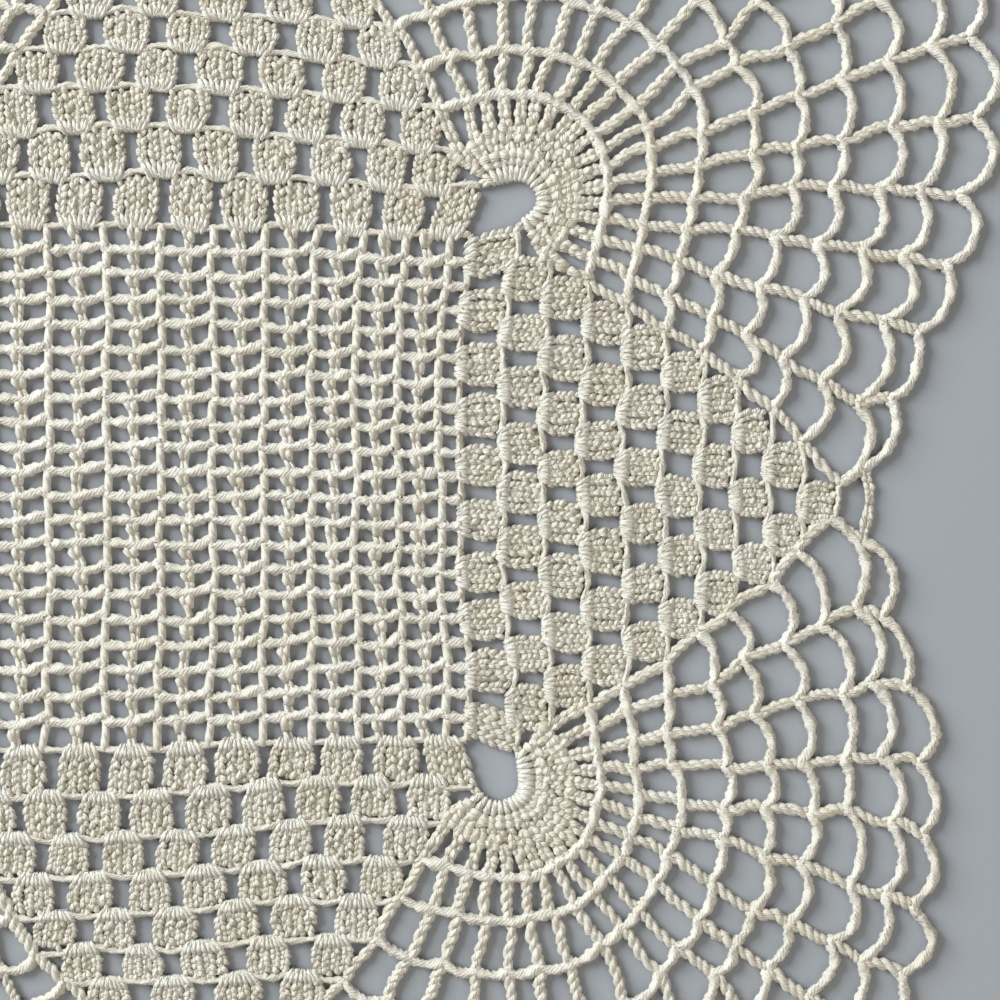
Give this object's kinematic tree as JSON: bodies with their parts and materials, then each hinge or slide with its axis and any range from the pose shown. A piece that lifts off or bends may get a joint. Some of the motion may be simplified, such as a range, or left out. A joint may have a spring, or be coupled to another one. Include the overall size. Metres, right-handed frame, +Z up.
{
  "type": "crochet doily",
  "caption": "Flat openwork crochet doily in ivory cotton: a square net ringed by triangles of treble blocks and by fans of chain mesh around corner eyelets.",
  "frame": {"origin": "middle of the doily, on the surface that it lies on", "axes": "+Z up out of the sheet, +X and +Y square to the sides of the net in the middle"},
  "size_m": [0.3106, 0.316, 0.0022],
  "materials": {
    "cotton": "matt ivory cotton thread, hand crocheted"
  },
  "bodies": {
    "root": {"doily": "cotton"}
  },
  "joints": []
}
